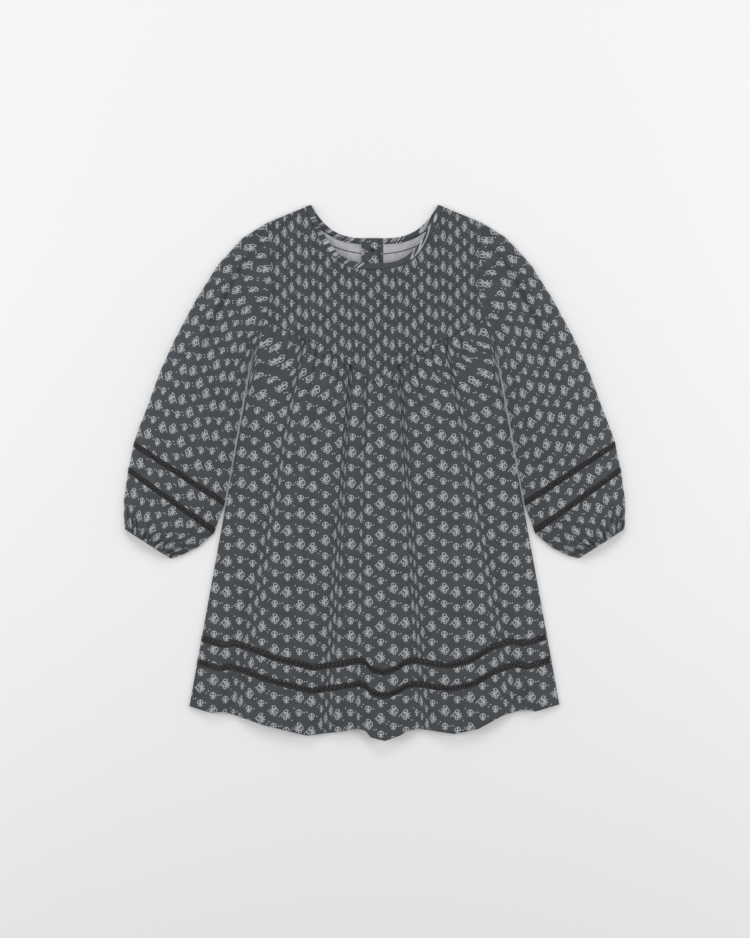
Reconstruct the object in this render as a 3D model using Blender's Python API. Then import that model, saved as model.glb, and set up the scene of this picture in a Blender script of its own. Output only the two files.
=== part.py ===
"""A child's puff sleeve dress, laid flat on its back: shirred yoke, gathered skirt, lace insertions
at the hem and the sleeves, elastic cuffs and a buttoned placket at the centre back.

Metres, +Z up. The origin is on the surface under the middle of the dress, the neck is towards +Y.
In the tables "down" is the distance below the highest point of the neck, and "out" the distance from
the centre line.
"""

import math

import bmesh
import bpy
import numpy as np

# Whole dress
LENGTH = 0.5778
TOP_Y = LENGTH / 2
CLOTH = 0.0011
SEAM = 0.0003
CURVED_SEAM = 0.0005

# Neck
NECK_HALF = 0.0685
FRONT_NECK_DROP = 0.0635
FRONT_NECK_POWER = 3.0
BACK_NECK_DROP = 0.036
BACK_NECK_POWER = 3.4
BINDING_WIDTH = 0.0065
BINDING_THICKNESS = 0.0020
BINDING_EDGE = 0.75
FRONT_BINDING_COLUMNS = 32
BACK_BINDING_COLUMNS = 16
BACK_NECK_LENGTH = 0.0835

# Shoulder and armhole, from the shoulder tip to the underarm
ARMHOLE = (
    # out, down
    (0.1160, 0.0195),
    (0.1135, 0.0450),
    (0.1120, 0.0700),
    (0.1120, 0.0950),
    (0.1155, 0.1130),
    (0.1190, 0.1230),
    (0.1240, 0.1360),
    (0.1310, 0.1590),
)
# Pointed seam between yoke and skirt, which ends on the armhole
YOKE_SEAM = (
    # out, down
    (0.0000, 0.1930),
    (0.0220, 0.1760),
    (0.0400, 0.1640),
    (0.0570, 0.1535),
    (0.0750, 0.1460),
    (0.1000, 0.1340),
    (0.1190, 0.1230),
)
# Side seam: straight, flared
SIDE_FLARE = 0.181
# Which place on the hem each place on the yoke seam or the armhole falls to
SKIRT_FALL = (
    # share of the columns, out at the top, out at the hem
    (0.00, 0.0000, 0.000),
    (0.27, 0.0265, 0.054),
    (0.72, 0.0770, 0.150),
    (0.92, 0.1190, 0.190),
    (1.00, 0.1310, 0.200),
)
# Lower edge as it lies, lobe by lobe
HEM = (
    # across, down
    (-0.200, 0.5410),
    (-0.176, 0.5480),
    (-0.163, 0.5465),
    (-0.121, 0.5605),
    (-0.072, 0.5724),
    (-0.044, 0.5690),
    (-0.018, 0.5648),
    (-0.010, 0.5670),
    (-0.004, 0.5740),
    (0.011, 0.5778),
    (0.027, 0.5725),
    (0.036, 0.5670),
    (0.047, 0.5650),
    (0.086, 0.5704),
    (0.112, 0.5650),
    (0.138, 0.5510),
    (0.162, 0.5440),
    (0.173, 0.5465),
    (0.200, 0.5390),
)
# Strips of the skirt, measured up from the hem
SKIRT_STRIPS = (
    # name, lower edge, upper edge, rows
    ("lace_upper", 0.0697, 0.0763, 1),
    ("band", 0.0513, 0.0697, 1),
    ("lace_lower", 0.0447, 0.0513, 1),
    ("hem", 0.0000, 0.0447, 2),
)
SKIRT_TOP_STRIP = 0.0763
SKIRT_COLUMNS = 56
SKIRT_ROWS = 7
BACK_COLUMNS = 34
BACK_ROWS = 4
BACK_INSET = 0.0015

# The front lies on the back: a raised middle that slopes down to the side seams and the shoulders
LIFT = 0.0046
SIDE_SLOPE = 0.040
SHOULDER_SLOPE = 0.034
SLOPE_FOOT = 0.112
# Folds of the front skirt: a trough sinks to the back, a ridge stands above the rest
SKIRT_FOLDS = (
    # hem place, half width top, middle, hem, strength top, middle, hem
    (-0.0530, 0.0060, 0.0110, 0.0190, 0.55, 1.00, 0.75),
    (0.0540, 0.0060, 0.0115, 0.0190, 0.55, 1.00, 0.75),
    (-0.1500, 0.0060, 0.0120, 0.0210, 0.30, 0.75, 0.85),
    (0.1500, 0.0060, 0.0120, 0.0210, 0.30, 0.75, 0.85),
    (-0.0190, 0.0040, 0.0060, 0.0100, 0.35, 0.25, 0.45),
)
SKIRT_RIDGES = (
    # hem place, half width top, middle, hem, height top, middle, hem
    (0.0090, 0.0120, 0.0220, 0.0320, 0.0010, 0.0026, 0.0034),
    (-0.0960, 0.0150, 0.0280, 0.0420, 0.0010, 0.0024, 0.0026),
    (0.0980, 0.0150, 0.0280, 0.0420, 0.0010, 0.0024, 0.0026),
    (-0.1790, 0.0060, 0.0120, 0.0180, 0.0004, 0.0012, 0.0014),
    (0.1790, 0.0060, 0.0120, 0.0180, 0.0004, 0.0012, 0.0014),
)
FOLD_MIDDLE = 0.40
GATHER_HEIGHT = 0.0014
GATHER_REACH = 0.30

# Shirring of the yoke: ribs between rows of elastic thread
YOKE_RIBS = 32
SHIRRING_ROWS = 13
RIB_HEIGHT = 0.0013
SHIRRED_HEIGHT = 0.35
BACK_YOKE_COLUMNS = 24
BACK_YOKE_ROWS = 8
MEETING_STEPS = 8

# Placket at the centre back, and its button
PLACKET_LEFT = -0.0119
PLACKET_EDGE = 0.0048
PLACKET_RIGHT = 0.0092
PLACKET_LAP = 0.0022
PLACKET_COLUMNS = 6
PLACKET_ROWS = 2
BUTTON_DOWN = 0.0486
BUTTON_OUT = -0.0021
BUTTON_RADIUS = 0.0021
BUTTON_HEIGHT = 0.0013
BUTTON_SIDES = 16

# Sleeve sections from the armhole to the cuff: the upper fold lies outward, the lower one inward
SLEEVE_SECTIONS = (
    # name, upper out, upper down, lower out, lower down, height
    ("armhole", 0.1163, 0.0195, 0.1313, 0.1590, 0.0034),
    ("head", 0.1420, 0.0356, 0.1341, 0.1696, 0.0090),
    ("upper arm", 0.1690, 0.0648, 0.1370, 0.1847, 0.0130),
    ("upper arm", 0.1928, 0.1026, 0.1404, 0.2030, 0.0150),
    ("elbow", 0.2144, 0.1426, 0.1439, 0.2225, 0.0158),
    ("elbow", 0.2317, 0.1804, 0.1476, 0.2430, 0.0158),
    ("forearm", 0.2457, 0.2192, 0.1519, 0.2668, 0.0150),
    ("forearm", 0.2540, 0.2400, 0.1562, 0.2920, 0.0140),
    ("upper lace", 0.2591, 0.2552, 0.1613, 0.3189, 0.0130),
    ("band", 0.2604, 0.2611, 0.1626, 0.3249, 0.0128),
    ("lower lace", 0.2650, 0.2827, 0.1716, 0.3492, 0.0126),
    ("puff", 0.2662, 0.2886, 0.1740, 0.3550, 0.0128),
    ("puff", 0.2705, 0.3186, 0.1906, 0.3694, 0.0120),
    ("gathers", 0.2705, 0.3380, 0.2079, 0.3780, 0.0106),
    ("cuff", 0.2701, 0.3455, 0.2150, 0.3802, 0.0094),
    ("cuff edge", 0.2695, 0.3499, 0.2198, 0.3818, 0.0090),
)
SLEEVE_PIECES = (
    # name, first section, last section, rows
    ("", 0, 8, 9),
    ("_lace_upper", 8, 9, 1),
    ("_band", 9, 10, 1),
    ("_lace_lower", 10, 11, 1),
    ("_puff", 11, 14, 4),
    ("_cuff", 14, 15, 1),
)
SLEEVE_TOP_SIDES = 22
SLEEVE_UNDER_SIDES = 8
FLAT_SLEEVE = 0.0029
SLEEVE_ROUNDNESS = 2.4
SLEEVE_CROWN = 0.75
EDGE_INSET = 0.0016
# The pleat that runs down from the sleeve head: place across the section, strength
SLEEVE_PLEAT = (
    # section, place across, half width, depth
    (0.0, 0.13, 0.07, 0.0000),
    (1.0, 0.20, 0.08, 0.0024),
    (2.0, 0.28, 0.08, 0.0034),
    (3.0, 0.32, 0.09, 0.0030),
    (4.0, 0.41, 0.11, 0.0018),
    (5.5, 0.50, 0.13, 0.0000),
)
HEAD_GATHER = 0.0011
HEAD_GATHER_END = 2.0
CUFF_GATHER = 0.0012
CUFF_GATHER_START = 11.0

CLOTH_COLOUR = (0.055, 0.060, 0.066, 1.0)
WRONG_SIDE_COLOUR = (0.36, 0.36, 0.38, 1.0)
LACE_COLOUR = (0.030, 0.029, 0.029, 1.0)
BUTTON_COLOUR = (0.012, 0.013, 0.014, 1.0)


def clear_scene():
    for thing in list(bpy.data.objects):
        bpy.data.objects.remove(thing, do_unlink=True)


def finish(name, colour, roughness):
    """A plain opaque material."""
    material = bpy.data.materials.new(name)
    material.use_nodes = True
    shader = material.node_tree.nodes["Principled BSDF"]
    shader.inputs["Base Color"].default_value = colour
    shader.inputs["Roughness"].default_value = roughness
    shader.inputs["Metallic"].default_value = 0.0
    return material


def add_object(name, bm, material, smooth=True):
    """Close the wall's faces outwards and put it in the scene as one named object."""
    bmesh.ops.recalc_face_normals(bm, faces=bm.faces[:])
    if bm.calc_volume(signed=True) < 0:
        bmesh.ops.reverse_faces(bm, faces=bm.faces[:])
    mesh = bpy.data.meshes.new(name)
    bm.to_mesh(mesh)
    bm.free()
    if smooth:
        mesh.shade_smooth()
    mesh.materials.append(material)
    made = bpy.data.objects.new(name, mesh)
    bpy.context.scene.collection.objects.link(made)
    return made


def read(table, value, column):
    """A table's column at a value of its first column."""
    rows = np.array([row for row in table])
    return float(np.interp(value, rows[:, 0], rows[:, column]))


def smooth(value):
    """0 to 1 with a soft start and end."""
    value = min(1.0, max(0.0, value))
    return value * value * (3 - 2 * value)


def bump(distance, half_width):
    """1 at the middle of a fold, 0 from its edges on."""
    share = min(1.0, abs(distance) / half_width)
    return 0.5 + 0.5 * math.cos(math.pi * share)


# Lines of the pattern, as distances down from the neck's highest point


def neck_down(out, drop, power):
    return drop * (1 - min(1.0, abs(out) / NECK_HALF) ** power)


def neck_curve(drop, power, steps=240):
    """Half a neckline from the centre to the shoulder, as (out, down) points close together."""
    outs = [NECK_HALF * math.sin(i / steps * math.pi / 2) for i in range(steps + 1)]
    return np.array([(out, neck_down(out, drop, power)) for out in outs])


def moved_out(curve, distance):
    """A curve moved square to itself, away from the neck opening."""
    along = np.gradient(curve, axis=0)
    along /= np.linalg.norm(along, axis=1)[:, None]
    across = np.stack([-along[:, 1], along[:, 0]], axis=1)
    return curve + across * distance


def at_share(curve, share):
    """The point at a share of a curve's length."""
    steps = np.linalg.norm(np.diff(curve, axis=0), axis=1)
    length = np.concatenate([[0.0], np.cumsum(steps)])
    where = share * length[-1]
    return np.interp(where, length, curve[:, 0]), np.interp(where, length, curve[:, 1])


def shoulder_down(out):
    tip_out, tip_down = ARMHOLE[0]
    return tip_down * max(0.0, abs(out) - NECK_HALF) / (tip_out - NECK_HALF)


def side_out(down):
    """The body's half width: the armhole, then the side seam."""
    tip, underarm = ARMHOLE[0], ARMHOLE[-1]
    if down >= underarm[1]:
        return underarm[0] + (down - underarm[1]) * SIDE_FLARE
    if down <= tip[1]:
        return tip[0]
    downs = [row[1] for row in ARMHOLE]
    outs = [row[0] for row in ARMHOLE]
    return float(np.interp(down, downs, outs))


def yoke_seam_down(out):
    """The yoke's pointed seam, and past its end the armhole down to the underarm."""
    out = abs(out)
    if out > YOKE_SEAM[-1][0]:
        lower = [row for row in ARMHOLE if row[1] >= YOKE_SEAM[-1][1]]
        return float(np.interp(out, [row[0] for row in lower], [row[1] for row in lower]))
    return read(YOKE_SEAM, out, 1)


def hem_down(across):
    return read(HEM, across, 1)


# Height of the front layer above the back


def lift(x, down):
    """How far the front stands off the back before its folds."""
    foot = max(SLOPE_FOOT, side_out(down) - SEAM)
    side = (foot - abs(x)) / SIDE_SLOPE
    shoulder = (down - shoulder_down(x)) / SHOULDER_SLOPE
    return LIFT * min(1.0, max(0.0, side), max(0.0, shoulder))


def front_floor():
    """Inner side of the front where it lies on the back."""
    return CLOTH + SEAM


def over_height(t, top, middle, hem):
    """A fold's size at a share of the way down the skirt."""
    return float(np.interp(t, (0.0, FOLD_MIDDLE, 1.0), (top, middle, hem)))


def skirt_place(share):
    """Where a column of the skirt starts and ends, as signed distances from the centre."""
    side = -1.0 if share < 0 else 1.0
    return side * read(SKIRT_FALL, abs(share), 1), side * read(SKIRT_FALL, abs(share), 2)


def fold_place(hem_place, t):
    """How far out a fold runs at a share of the way down."""
    outs = [row[2] for row in SKIRT_FALL]
    tops = [row[1] for row in SKIRT_FALL]
    top = math.copysign(float(np.interp(abs(hem_place), outs, tops)), hem_place)
    return top + (hem_place - top) * t


def skirt_height(x, down, t, column):
    """Inner side of the front skirt: the lift, raised in ridges and sunk in troughs."""
    base = lift(x, down)
    edge = smooth((side_out(down) - abs(x)) / (0.5 * SIDE_SLOPE))
    for place, *sizes in SKIRT_RIDGES:
        width = over_height(t, *sizes[:3])
        base += edge * over_height(t, *sizes[3:]) * bump(x - fold_place(place, t), width)
    for place, *sizes in SKIRT_FOLDS:
        width = over_height(t, *sizes[:3])
        base *= 1 - over_height(t, *sizes[3:]) * bump(x - fold_place(place, t), width)
    if column % 2 == 0:
        base += edge * GATHER_HEIGHT * (1 - smooth(t / GATHER_REACH))
    return front_floor() + base


# Walls


def wall(columns, rows):
    """A closed slab as a grid: every vertex reads as (share across -1..1, share along 0..1, layer)."""
    bm = bmesh.new()
    bmesh.ops.create_grid(bm, x_segments=columns, y_segments=rows, size=1.0)
    made = bmesh.ops.extrude_face_region(bm, geom=bm.faces[:])["geom"]
    raised = [part for part in made if isinstance(part, bmesh.types.BMVert)]
    bmesh.ops.translate(bm, vec=(0, 0, 1), verts=raised)
    return bm


def shaped_wall(columns, rows, place):
    """A slab whose vertices are put where place(share, t, column, row, layer) says."""
    bm = wall(columns, rows)
    for vertex in bm.verts:
        share, along, layer = vertex.co
        column = round((share + 1) / 2 * columns)
        row = round((along + 1) / 2 * rows)
        x, down, z = place(share, (along + 1) / 2, column, row, round(layer))
        vertex.co = (x, TOP_Y - down, z)
    return bm


def tube(sides, rows, place):
    """An open tube's wall: vertices are put where place(turn 0..1, t, layer) says."""
    bm = bmesh.new()
    bmesh.ops.create_cone(
        bm, cap_ends=False, segments=sides, radius1=1.0, radius2=1.0, depth=1.0
    )
    upright = [edge for edge in bm.edges if abs(edge.verts[0].co.z - edge.verts[1].co.z) > 0.5]
    if rows > 1:
        bmesh.ops.subdivide_edges(bm, edges=upright, cuts=rows - 1, use_grid_fill=True)
    made = bmesh.ops.extrude_face_region(bm, geom=bm.faces[:])["geom"]
    inner = [part for part in made if isinstance(part, bmesh.types.BMVert)]
    bmesh.ops.scale(bm, vec=(0.5, 0.5, 1.0), verts=inner)
    for vertex in bm.verts:
        turn = round(math.atan2(vertex.co.y, vertex.co.x) / math.tau * sides) % sides
        layer = 0 if math.hypot(vertex.co.x, vertex.co.y) > 0.75 else 1
        x, down, z = place(turn, vertex.co.z + 0.5, layer)
        vertex.co = (x, TOP_Y - down, z)
    return bm


# Yoke


def meet(line, half_out):
    """Where a column meets a line of the pattern: half_out(down) is the column's distance out."""
    down = line(half_out(0.0))
    for _ in range(MEETING_STEPS):
        down = line(half_out(down))
    return down


def front_yoke():
    """Raised in ribs between the shirring rows; its inside is plain."""
    bound = moved_out(neck_curve(FRONT_NECK_DROP, FRONT_NECK_POWER), BINDING_WIDTH + CURVED_SEAM)

    def top_down(out):
        end = bound[-1]
        if out >= end[0]:
            return shoulder_down(out)
        return max(float(np.interp(out, bound[:, 0], bound[:, 1])), shoulder_down(out))

    def place(share, t, column, row, layer):
        def out(down):
            return abs(share) * (side_out(down) - SEAM)

        top = meet(top_down, out)
        low = meet(yoke_seam_down, out) - SEAM / 2
        down = low + (top - low) * t
        x = math.copysign(out(down), share)
        z = front_floor() + lift(x, down)
        if layer == 1:
            shirred = SHIRRED_HEIGHT if row % 2 == 0 else 1.0
            rib = column % 2
            z += CLOTH + RIB_HEIGHT * rib * shirred
        return x, down, z

    return shaped_wall(2 * YOKE_RIBS, 2 * SHIRRING_ROWS, place)


def back_yoke(side):
    """Half of the back yoke, flat on the surface, from the placket to the armhole."""
    bound = moved_out(neck_curve(BACK_NECK_DROP, BACK_NECK_POWER), BINDING_WIDTH + CURVED_SEAM)
    inner = -PLACKET_LEFT if side < 0 else PLACKET_RIGHT

    def top_down(out):
        if out >= bound[-1][0]:
            return shoulder_down(out)
        return max(float(np.interp(out, bound[:, 0], bound[:, 1])), shoulder_down(out))

    def place(share, t, column, row, layer):
        def out(down):
            return inner + SEAM + (share + 1) / 2 * (side_out(down) - 2 * SEAM - inner)

        top = meet(top_down, out)
        low = meet(yoke_seam_down, out) - SEAM / 2
        down = low + (top - low) * t
        return side * out(down), down, CLOTH * layer

    return shaped_wall(BACK_YOKE_COLUMNS, BACK_YOKE_ROWS, place)


def binding(drop, power, start, end, columns, height, thickness):
    """A length of neck binding, a soft fold with a rounded back; start and end are half lengths."""
    inner = neck_curve(drop, power)
    outer = moved_out(inner, BINDING_WIDTH)

    def place(share, t, column, row, layer):
        along = start + (end - start) * (share + 1) / 2
        near = at_share(inner, abs(along))
        far = at_share(outer, abs(along))
        side = math.copysign(1.0, along)
        x = side * (near[0] + (far[0] - near[0]) * t)
        down = near[1] + (far[1] - near[1]) * t
        z = height(x, down)
        if layer == 1:
            z += thickness * (BINDING_EDGE if row in (0, 2) else 1.0)
        return x, down, z

    return shaped_wall(columns, 2, place)


# Skirt


def skirt_panel(columns, rows, lower, upper, height):
    """A stretch of the skirt between two distances above the hem; upper None is the yoke seam."""

    def place(share, t, column, row, layer):
        top_out, hem_out = skirt_place(share)
        start = yoke_seam_down(top_out) + SEAM / 2
        end = hem_down(hem_out)
        low = end - lower - (SEAM / 2 if lower else 0.0)
        high = start if upper is None else end - upper + SEAM / 2
        down = high + (low - high) * (1 - t)
        fall = (down - start) / (end - start)
        x = top_out + (hem_out - top_out) * fall
        edge = side_out(down) - SEAM
        x = math.copysign(min(abs(x), edge), x)
        return height(x, down, fall, column, layer)

    return shaped_wall(columns, rows, place)


def front_skirt_height(x, down, fall, column, layer):
    return x, down, skirt_height(x, down, fall, column) + CLOTH * layer


def back_skirt_height(x, down, fall, column, layer):
    shrink = 1 - BACK_INSET * smooth(fall) / side_out(down)
    return x * shrink, down - BACK_INSET * smooth((fall - 0.5) * 2), CLOTH * layer


# Sleeve


def armhole_bow(across):
    """How far the armhole seam lies inward of the straight line between its ends."""
    upper, lower = ARMHOLE[0], ARMHOLE[-1]
    down = upper[1] + (lower[1] - upper[1]) * across
    straight = upper[0] + (lower[0] - upper[0]) * across
    return straight - side_out(down)


def sleeve_point(section, turn, layer):
    """A point of the sleeve's wall: turn counts round from the lower fold over the top."""
    table = np.array([row[1:] for row in SLEEVE_SECTIONS])
    where = np.arange(len(table))
    upper_out, upper_down, lower_out, lower_down, height = (
        float(np.interp(section, where, table[:, i])) for i in range(5)
    )
    width = math.hypot(upper_out - lower_out, upper_down - lower_down)
    inset = EDGE_INSET / width
    if turn <= SLEEVE_TOP_SIDES:
        across = 1 - turn / SLEEVE_TOP_SIDES
        crown = max(0.0, 1 - abs(2 * across - 1) ** SLEEVE_ROUNDNESS) ** SLEEVE_CROWN
        z = FLAT_SLEEVE + (height - FLAT_SLEEVE) * crown
        z -= read(SLEEVE_PLEAT, section, 3) * bump(
            across - read(SLEEVE_PLEAT, section, 1), read(SLEEVE_PLEAT, section, 2)
        )
        gather = HEAD_GATHER * math.sin(math.pi * min(1.0, section / HEAD_GATHER_END))
        last = len(SLEEVE_SECTIONS) - 1
        if section > CUFF_GATHER_START:
            gather = CUFF_GATHER * (section - CUFF_GATHER_START) / (last - CUFF_GATHER_START)
        if turn % 2 == 0 and 0 < turn < SLEEVE_TOP_SIDES:
            z -= gather
        if turn in (0, SLEEVE_TOP_SIDES):
            z = FLAT_SLEEVE / 2
            across += (0.5 - across) * 2 * inset * layer
        elif layer:
            z -= CLOTH
    else:
        step = (turn - SLEEVE_TOP_SIDES) / (SLEEVE_UNDER_SIDES)
        across = inset + (1 - 2 * inset) * (step - 1 / (2 * SLEEVE_UNDER_SIDES)) / (
            1 - 1 / SLEEVE_UNDER_SIDES
        )
        across += (0.5 - across) * 2 * inset * layer
        z = CLOTH * layer
    out = upper_out + (lower_out - upper_out) * across
    down = upper_down + (lower_down - upper_down) * across
    out -= armhole_bow(across) * max(0.0, 1 - section / 2) ** 2
    return out, down, z


def sleeve_piece(side, first, last, rows):
    sides = SLEEVE_TOP_SIDES + SLEEVE_UNDER_SIDES
    pitch = SEAM / 2

    def gap_at(section):
        table = np.array([row[1:5] for row in SLEEVE_SECTIONS])
        near = int(min(max(section, 0), len(table) - 2))
        step = table[near + 1] - table[near]
        run = min(math.hypot(step[0], step[1]), math.hypot(step[2], step[3]))
        return pitch / run

    start = first + (gap_at(first) if first else 0.0)
    end = last - (gap_at(last - 1) if last < len(SLEEVE_SECTIONS) - 1 else 0.0)

    def place(turn, t, layer):
        out, down, z = sleeve_point(start + (end - start) * t, turn, layer)
        return side * out, down, z

    return tube(sides, rows, place)


def button_solid():
    """A small domed button on the placket."""
    bm = bmesh.new()
    bmesh.ops.create_cone(
        bm,
        cap_ends=True,
        segments=BUTTON_SIDES,
        radius1=BUTTON_RADIUS,
        radius2=BUTTON_RADIUS * 0.8,
        depth=BUTTON_HEIGHT,
    )
    seat = 2 * CLOTH + 2 * SEAM
    bmesh.ops.translate(
        bm,
        vec=(BUTTON_OUT, TOP_Y - BUTTON_DOWN, seat + BUTTON_HEIGHT / 2),
        verts=bm.verts[:],
    )
    return bm


def placket_strip(left, right, base, columns):
    """A flat strip from the back neck down to the yoke's seam."""

    def place(share, t, column, row, layer):
        x = left + (right - left) * (share + 1) / 2
        top = neck_down(x, BACK_NECK_DROP, BACK_NECK_POWER)
        low = yoke_seam_down(x) - SEAM / 2
        return x, low + (top - low) * t, base + CLOTH * layer

    return shaped_wall(columns, PLACKET_ROWS, place)


def front_edge_height(x, down):
    """The front binding sits just over the yoke's edge."""
    return front_floor() + lift(x, down)


def on_the_surface(x, down):
    return 0.0


def main():
    clear_scene()
    cloth = finish("printed_cotton", CLOTH_COLOUR, 0.85)
    wrong = finish("cotton_wrong_side", WRONG_SIDE_COLOUR, 0.9)
    lace = finish("lace", LACE_COLOUR, 0.9)
    horn = finish("button", BUTTON_COLOUR, 0.4)

    add_object("yoke_front", front_yoke(), cloth)
    add_object("yoke_back_left", back_yoke(-1), wrong)
    add_object("yoke_back_right", back_yoke(1), wrong)
    under = placket_strip(PLACKET_LEFT + SEAM, PLACKET_RIGHT, 0.0, PLACKET_COLUMNS)
    over = placket_strip(PLACKET_LEFT - PLACKET_LAP, PLACKET_EDGE, CLOTH + SEAM, PLACKET_COLUMNS)
    add_object("placket_under", under, cloth)
    add_object("placket_over", over, cloth)
    add_object("button", button_solid(), horn)

    front_bind = binding(
        FRONT_NECK_DROP,
        FRONT_NECK_POWER,
        -1.0,
        1.0,
        FRONT_BINDING_COLUMNS,
        front_edge_height,
        BINDING_THICKNESS,
    )
    add_object("neck_binding_front", front_bind, cloth)
    for name, side, gap in (
        ("left", -1, -PLACKET_LEFT + PLACKET_LAP + SEAM),
        ("right", 1, PLACKET_RIGHT + SEAM),
    ):
        strip = binding(
            BACK_NECK_DROP,
            BACK_NECK_POWER,
            side * gap / BACK_NECK_LENGTH,
            side * 1.0,
            BACK_BINDING_COLUMNS,
            on_the_surface,
            CLOTH,
        )
        add_object(f"neck_binding_back_{name}", strip, cloth)

    for name, height, columns, rows in (
        ("skirt_front", front_skirt_height, SKIRT_COLUMNS, SKIRT_ROWS),
        ("skirt_back", back_skirt_height, BACK_COLUMNS, BACK_ROWS),
    ):
        main_panel = skirt_panel(columns, rows, SKIRT_TOP_STRIP, None, height)
        add_object(name, main_panel, cloth)
        for strip_name, lower, upper, strip_rows in SKIRT_STRIPS:
            strip = skirt_panel(columns, strip_rows, lower, upper, height)
            add_object(f"{name}_{strip_name}", strip, lace if "lace" in strip_name else cloth)

    for name, side in (("sleeve_left", -1), ("sleeve_right", 1)):
        for piece, first, last, rows in SLEEVE_PIECES:
            material = lace if "lace" in piece else cloth
            add_object(name + piece, sleeve_piece(side, first, last, rows), material)


main()
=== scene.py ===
"""A child's puff sleeve dress in a small printed cotton, laid flat on a pale surface and seen from above."""

import math

import bmesh
import bpy
import numpy as np
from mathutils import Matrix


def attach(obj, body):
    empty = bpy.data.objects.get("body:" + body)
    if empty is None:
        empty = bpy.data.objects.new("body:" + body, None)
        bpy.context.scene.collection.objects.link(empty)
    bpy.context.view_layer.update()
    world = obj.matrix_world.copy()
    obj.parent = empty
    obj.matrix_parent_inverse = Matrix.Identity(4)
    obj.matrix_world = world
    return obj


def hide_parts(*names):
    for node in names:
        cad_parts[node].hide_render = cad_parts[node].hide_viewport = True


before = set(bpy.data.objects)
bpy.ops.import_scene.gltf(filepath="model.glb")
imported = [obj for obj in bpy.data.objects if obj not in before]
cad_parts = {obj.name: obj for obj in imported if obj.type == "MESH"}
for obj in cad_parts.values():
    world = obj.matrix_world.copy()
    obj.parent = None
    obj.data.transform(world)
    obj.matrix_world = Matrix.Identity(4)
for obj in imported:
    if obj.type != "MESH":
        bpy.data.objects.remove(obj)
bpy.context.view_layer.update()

# The table and the light
# A matt white surface under the dress, lit by two long soft boxes low at the sides, one past the
# neck and a weak one overhead, so that the folds stay dark and the cloth between them even.
IMAGE_HEIGHT_M = 1.013
CAMERA_HEIGHT = 3.0
SENSOR = 36.0
LOOK_AT = (0.0005, 0.0038)
FLOOR_WHITE = (0.86, 0.86, 0.86, 1.0)

scene = bpy.context.scene
scene.view_settings.view_transform = "Standard"
camera_data = bpy.data.cameras.new("overhead")
camera_data.sensor_width = SENSOR
camera_data.lens = SENSOR * CAMERA_HEIGHT / IMAGE_HEIGHT_M
camera = bpy.data.objects.new("overhead", camera_data)
camera.location = (*LOOK_AT, CAMERA_HEIGHT)
scene.collection.objects.link(camera)
scene.camera = camera

floor_bm = bmesh.new()
bmesh.ops.create_grid(floor_bm, x_segments=1, y_segments=1, size=4.0)
bmesh.ops.translate(floor_bm, vec=(0, 0, -0.0002), verts=floor_bm.verts[:])
floor_mesh = bpy.data.meshes.new("surface")
floor_bm.to_mesh(floor_mesh)
floor_bm.free()
floor = bpy.data.objects.new("surface", floor_mesh)
scene.collection.objects.link(floor)
paper = bpy.data.materials.new("white_paper")
paper.use_nodes = True
paper_shader = paper.node_tree.nodes["Principled BSDF"]
paper_shader.inputs["Base Color"].default_value = FLOOR_WHITE
paper_shader.inputs["Roughness"].default_value = 0.9
floor_mesh.materials.append(paper)

SOFT_BOXES = (
    # name, place, width, length, watts
    ("left_box", (-1.7, 0.1, 0.85), 0.9, 1.8, 20.0),
    ("right_box", (1.7, 0.1, 0.85), 0.9, 1.8, 20.0),
    ("neck_box", (0.0, 1.9, 1.3), 1.8, 0.9, 16.0),
    ("overhead_box", (0.0, -0.2, 2.6), 1.6, 1.6, 9.0),
)
for name, place, width, length, watts in SOFT_BOXES:
    light = bpy.data.lights.new(name, "AREA")
    light.shape = "RECTANGLE"
    light.size = width
    light.size_y = length
    light.energy = watts
    lamp = bpy.data.objects.new(name, light)
    lamp.location = place
    aim = -np.array(place)
    lamp.rotation_euler = (
        math.acos(-aim[2] / np.linalg.norm(aim)),
        0.0,
        math.atan2(aim[1], aim[0]) - math.pi / 2,
    )
    scene.collection.objects.link(lamp)
world = bpy.data.worlds.new("studio")
world.use_nodes = True
world.node_tree.nodes["Background"].inputs["Color"].default_value = (1.0, 1.0, 1.0, 1.0)
world.node_tree.nodes["Background"].inputs["Strength"].default_value = 0.30
scene.world = world

# Front yoke
# The same printed cotton as the skirt, drawn up by thirteen rows of elastic thread sewn on its wrong
# side, so that it stands in narrow upright puckers between the rows. Its lower edge is pointed.
LENGTH = 0.5778
TOP_Y = LENGTH / 2
CLOTH = 0.0011
SEAM = 0.0003
CURVED_SEAM = 0.0005
NECK_HALF = 0.0685
FRONT_NECK_DROP = 0.0635
FRONT_NECK_POWER = 3.0
BACK_NECK_DROP = 0.036
BACK_NECK_POWER = 3.4
BINDING_WIDTH = 0.0065
ARMHOLE = np.array([
    # out, down
    (0.1160, 0.0195), (0.1135, 0.0450), (0.1120, 0.0700), (0.1120, 0.0950),
    (0.1155, 0.1130), (0.1190, 0.1230), (0.1240, 0.1360), (0.1310, 0.1590),
])
YOKE_SEAM = np.array([
    # out, down
    (0.0000, 0.1930), (0.0220, 0.1760), (0.0400, 0.1640), (0.0570, 0.1535),
    (0.0750, 0.1460), (0.1000, 0.1340), (0.1190, 0.1230), (0.1240, 0.1360), (0.1310, 0.1590),
])
SIDE_FLARE = 0.181
LIFT = 0.0046
SIDE_SLOPE = 0.040
SHOULDER_SLOPE = 0.034
SLOPE_FOOT = 0.112
YOKE_FULLNESS = 1.75
PUCKER_PITCH = 0.00345
PUCKER_HEIGHT = 0.0012
SHIRRING_PITCH = 0.0112
SHIRRING_FIRST = 0.0165
SHIRRING_DIP = 0.0006
THREAD_THIN = 0.0005


def smooth(value):
    value = np.clip(value, 0.0, 1.0)
    return value * value * (3 - 2 * value)


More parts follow.
